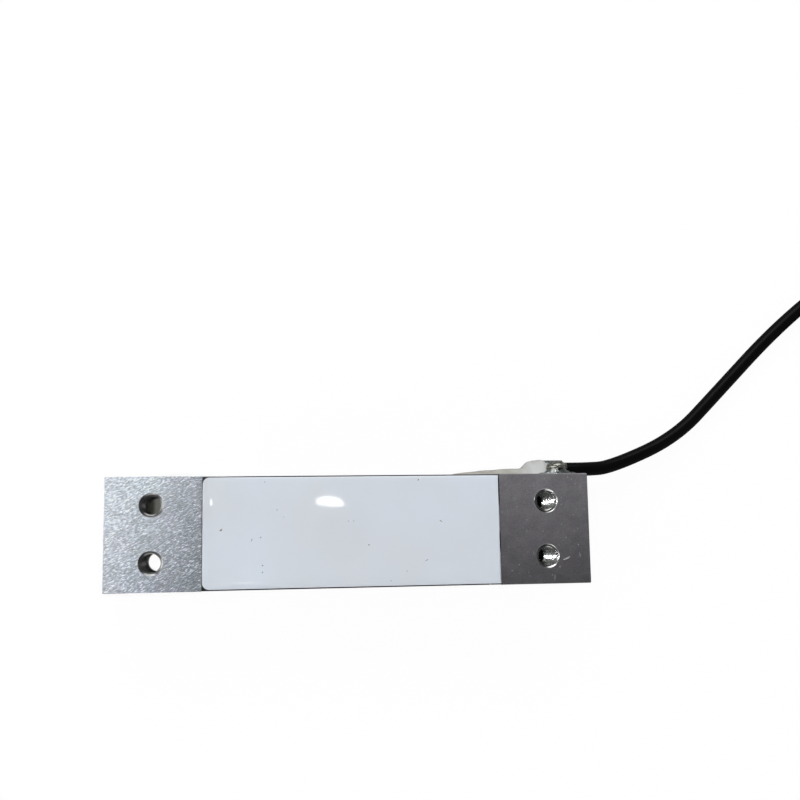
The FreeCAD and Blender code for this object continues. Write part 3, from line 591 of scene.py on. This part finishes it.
def side_bead():
    points = []
    faces = []
    for i in range(bead_stations + 1):
        x, height = bead_height(i / bead_stations)
        height = max(height, least_height)
        reach = axis_to_side + height
        half = math.acos(axis_to_side / reach)
        for j in range(bead_steps + 1):
            swing = 2 * j / bead_steps - 1
            lumpy = lumpiness * height * noise.noise(Vector((x * 0.3, half * swing * 1.5, 1.7)))
            lumpy *= math.cos(math.pi / 2 * swing)
            radial = Vector((0, math.cos(half * swing), math.sin(half * swing)))
            place = bead_axis + (radial * (reach + lumpy) + Vector((x, 0, 0))) * mm
            place.z = max(place.z, 0.0)
            points.append(place)

    # The outer skin, the back against the beam, and the two ends.
    row = bead_steps + 1
    for i in range(bead_stations):
        for j in range(bead_steps):
            corner = i * row + j
            faces.append((corner, corner + 1, corner + row + 1, corner + row))
        faces.append((i * row, (i + 1) * row, (i + 2) * row - 1, (i + 1) * row - 1))
    for i in (0, bead_stations):
        faces.append(tuple(range(i * row, (i + 1) * row)))
    return mesh_piece("side_bead", points, faces, milky_silicone(),
                      replaced="side_potting", sharp=math.radians(50), turn_out=True)


side_bead()


# Clip, washers and screw: a zinc plated strip bent over the cable, held by a pan head screw
# with a cross recess over a plain and a split washer, dulled by handling.
def dull_metal(name, dark, pale, roughness, scale):
    material = plain_material(name, pale, roughness, 1.0)
    tree = material.node_tree
    shader = tree.nodes["Principled BSDF"]
    place = object_place(tree)
    cloud = remap(tree, noise_at(tree, place, scale, 3.0), 0.35, 0.65)
    relief = bump(tree, 0.6, 0.02 * mm, noise_at(tree, place, 2.5 * scale))
    tree.links.new(mix_colours(tree, cloud, (*dark, 1), (*pale, 1)), shader.inputs["Base Color"])
    tree.links.new(relief, shader.inputs["Normal"])
    return material


zinc = dull_metal("zinc plate", (0.11, 0.13, 0.135), (0.42, 0.45, 0.44), 0.32, 1300.0)
steel = dull_metal("plated steel", (0.10, 0.102, 0.085), (0.42, 0.43, 0.38), 0.28, 1700.0)
nodes["clip_washer"].material_slots[0].material = zinc
nodes["clip_lock_washer"].material_slots[0].material = steel

# The strip's middle line runs across the cable, from its lip over the crown to the foot of the
# leg. All sizes of the clip and of its screw are in millimetres.
beam_side = 15.0
strip_half = 0.3
strip_lip_z = 4.15
crown = Vector((17.05, 6.5))
crown_radius = 2.35
crown_steps = 24
leg_start_z = 9.65
knee = Vector((16.1, leg_start_z))
knee_radius = 0.8
knee_steps = 8
leg_y = beam_side + strip_half
leg_steps = 14
clip_middle = 5.8
clip_half = 5.2
clip_stations = 60
leg_round_z = 13.8
scoop_depth = 1.7
strip_line = [Vector((y, strip_lip_z)) for y in (15.05, 15.7, 16.4)]
strip_line += [crown + crown_radius * Vector((math.sin(turn), -math.cos(turn)))
               for turn in [math.pi * k / crown_steps for k in range(crown_steps + 1)]]
strip_line += [knee + knee_radius * Vector((-math.sin(turn), -math.cos(turn)))
               for turn in [math.pi / 2 * k / knee_steps for k in range(knee_steps + 1)]]


def bent_clip():
    """Sections of the strip along the beam; its leg is rounded and its far mouth scooped out."""
    bends = len(strip_line)
    points = []
    faces = []
    for i in range(clip_stations + 1):
        share = -math.cos(math.pi * i / clip_stations)
        leg_top = leg_round_z + math.sqrt(max(clip_half ** 2 - (clip_half * share) ** 2, 0.0))
        line = strip_line + [Vector((leg_y, leg_start_z + (leg_top - leg_start_z) * k / leg_steps))
                             for k in range(1, leg_steps + 1)]
        for k, place in enumerate(line):
            along = (line[min(k + 1, len(line) - 1)] - line[max(k - 1, 0)]).normalized()
            out = Vector((along.y, -along.x))
            scoop = scoop_depth * math.sin(math.pi * min(k / bends, 1.0)) ** 2
            x = clip_middle + clip_half * share - scoop * max(share, 0.0)
            for side in (-1, 1):
                edge = place + out * (side * strip_half)
                points.append(Vector((x, max(edge.x, beam_side), edge.y)) * mm)
    count = bends + leg_steps
    row = 2 * count
    for i in range(clip_stations):
        for k in range(count - 1):
            for side in (0, 1):
                corner = i * row + 2 * k + side
                faces.append((corner, corner + 2, corner + row + 2, corner + row))
        for k in (0, count - 1):
            corner = i * row + 2 * k
            faces.append((corner, corner + 1, corner + row + 1, corner + row))
    for i in (0, clip_stations):
        for k in range(count - 1):
            corner = i * row + 2 * k
            faces.append((corner, corner + 1, corner + 3, corner + 2))
    return mesh_piece("bent_clip", points, faces, zinc, replaced="cable_clip",
                      sharp=math.radians(50), turn_out=True)


bent_clip()

screw_place = Vector((5.8, 16.8, 13.8)) * mm
screw_turn = math.radians(20)
head_radius = 3.0
head_height = 2.15
head_edge = 0.35
head_bevel_height = 0.15
head_bevel_inset = 0.1
shank_radius = 1.5
shank_length = 8.0
point_height = 0.4
point_radius = 1.1
cross_length = 1.5
cross_width = 0.36
cross_depth = 1.15
cross_wall = 0.16
screw_rings = 60
screw_sectors = 96


def cross_sink(x, z, radius):
    """Depth of the cross recess: two arms that narrow outwards, deepest in the middle."""
    arms = [max(abs(a) - cross_length, abs(b) - cross_width * (1 - 0.3 * abs(a) / cross_length))
            for a, b in ((x, z), (z, x))]
    sink = cross_depth * min(max(-min(arms) / cross_wall, 0.0), 1.0)
    return sink * (1 - 0.55 * min(radius / cross_length, 1.0) ** 2)


def pan_head_screw():
    """A turned profile from the crown of the head to the point, with the cross pressed in."""
    profile = []
    for k in range(screw_rings + 1):
        angle = math.pi / 2 * k / screw_rings
        profile.append((head_radius * math.sin(angle),
                        head_edge + (head_height - head_edge) * math.cos(angle) ** 0.8))
    profile += [(head_radius, head_bevel_height), (head_radius - head_bevel_inset, 0.0),
                (shank_radius, 0.0), (shank_radius, point_height - shank_length),
                (point_radius, -shank_length), (0.0, -shank_length)]
    points = []
    faces = []
    for k, (radius, height) in enumerate(profile):
        for j in range(screw_sectors):
            turn = 2 * math.pi * j / screw_sectors + screw_turn
            x, z = radius * math.cos(turn), radius * math.sin(turn)
            sink = cross_sink(x, z, radius) if k <= screw_rings else 0.0
            points.append(screw_place + Vector((x, height - sink, z)) * mm)
    for k in range(len(profile) - 1):
        for j in range(screw_sectors):
            after = (j + 1) % screw_sectors
            faces.append((k * screw_sectors + j, (k + 1) * screw_sectors + j,
                          (k + 1) * screw_sectors + after, k * screw_sectors + after))
    return mesh_piece("pan_head_screw", points, faces, steel, replaced="clip_screw",
                      turn_out=True, merge=0.001 * mm)


pan_head_screw()


# Floor and light: a pale bench that shows white to the eye and keeps the contact shadow, a
# small key lamp over the live end, broad soft lamps around, two small lamps that draw the
# highlights in the silicone, and a dark ceiling.
def staged(name, points, material):
    mesh = bpy.data.meshes.new(name)
    mesh.from_pydata(points, [], [tuple(range(len(points)))])
    mesh.materials.append(material)
    obj = bpy.data.objects.new(name, mesh)
    bpy.context.collection.objects.link(obj)


floor_half = 3.0
eye_share = 0.9
eye_white = 1.07
bench_paint = plain_material("pale bench", (0.45, 0.45, 0.45), 0.9)
tree = bench_paint.node_tree
seen = calc(tree, "MULTIPLY", add(tree, "LightPath", {})["Is Camera Ray"], eye_share)
white = add(tree, "Emission", {"Strength": eye_white})[0]
mixer = add(tree, "MixShader", {0: seen, 1: tree.nodes["Principled BSDF"].outputs[0], 2: white})[0]
tree.links.new(mixer, tree.nodes["Material Output"].inputs["Surface"])
staged("floor", [(-floor_half, -floor_half, 0), (floor_half, -floor_half, 0),
                 (floor_half, floor_half, 0), (-floor_half, floor_half, 0)], bench_paint)

# Painted shade: a dark disc under one of the live end's holes stands for the shaded bench seen
# through it, and glows faintly, paler towards the fixed end.
shade_disc_middle = Vector((-106.0, 7.5, 0.3)) * mm
shade_disc_radius = 3.4 * mm
shade_disc_paint = plain_material("painted bench shade", (0.12, 0.115, 0.09), 0.8)
tree = shade_disc_paint.node_tree
shade_disc_x = add(tree, "SeparateXYZ", {0: object_place(tree)})[0]
shade_disc_glow = mix_colours(tree, remap(tree, shade_disc_x, -107.7 * mm, -106.7 * mm), (0.02, 0.02, 0.015, 1),
                        (0.11, 0.11, 0.10, 1))
tree.links.new(shade_disc_glow, tree.nodes["Principled BSDF"].inputs["Emission Color"])
tree.nodes["Principled BSDF"].inputs["Emission Strength"].default_value = 1.0
staged("bench_shade_disc", [shade_disc_middle + Vector((math.cos(turn), math.sin(turn), 0)) * shade_disc_radius
                for turn in [2 * math.pi * k / 24 for k in range(24)]], shade_disc_paint)


def lamp(name, place, aim, size_x, size_y, power, shape="RECTANGLE"):
    data = bpy.data.lights.new(name, "AREA")
    data.shape = shape
    data.size = size_x
    data.size_y = size_y
    data.energy = power
    obj = bpy.data.objects.new(name, data)
    obj.location = place
    obj.rotation_euler = (Vector(aim) - Vector(place)).to_track_quat("-Z", "Y").to_euler()
    bpy.context.collection.objects.link(obj)


middle = (-0.05, 0.0, 0.02)
lamp("key", (-0.206, 0.045, 0.522), middle, 0.021, 0.021, 0.34)
lamp("fill", (0.177, 0.03, 0.6), middle, 0.05, 0.05, 0.06)
lamp("left", (-1.05, 0.0, 0.65), middle, 0.7, 1.0, 4.6)
lamp("far", (-0.1, 1.05, 0.7), middle, 1.0, 0.7, 8.4)
lamp("near", (-0.1, -1.05, 0.7), middle, 1.0, 0.7, 4.2)
lamp("window", (0.0007, 0.0395, 0.9), (0.0007, 0.0395, 0.0), 0.031, 0.0075, 0.010, "ELLIPSE")
lamp("strip", (-0.094, -0.128, 0.9), (-0.094, -0.128, 0.0), 0.026, 0.018, 0.03)

# The eye sees a white surround; the metal and the silicone mirror grey walls and a dark ceiling.
wall_glow = 0.42
ceiling_glow = 0.06
world = bpy.data.worlds.new("studio")
bpy.context.scene.world = world
world.use_nodes = True
tree = world.node_tree
direction_z = add(tree, "SeparateXYZ", {0: add(tree, "TexCoord", {})["Generated"]})[2]
glow = remap(tree, direction_z, 0.4, 0.75, wall_glow, ceiling_glow)
seen = add(tree, "LightPath", {})["Is Camera Ray"]
tree.links.new(calc(tree, "MAXIMUM", glow, seen), tree.nodes["Background"].inputs["Strength"])
tree.nodes["Background"].inputs["Color"].default_value = (1, 1, 1, 1)

bpy.context.scene.view_settings.view_transform = "Standard"
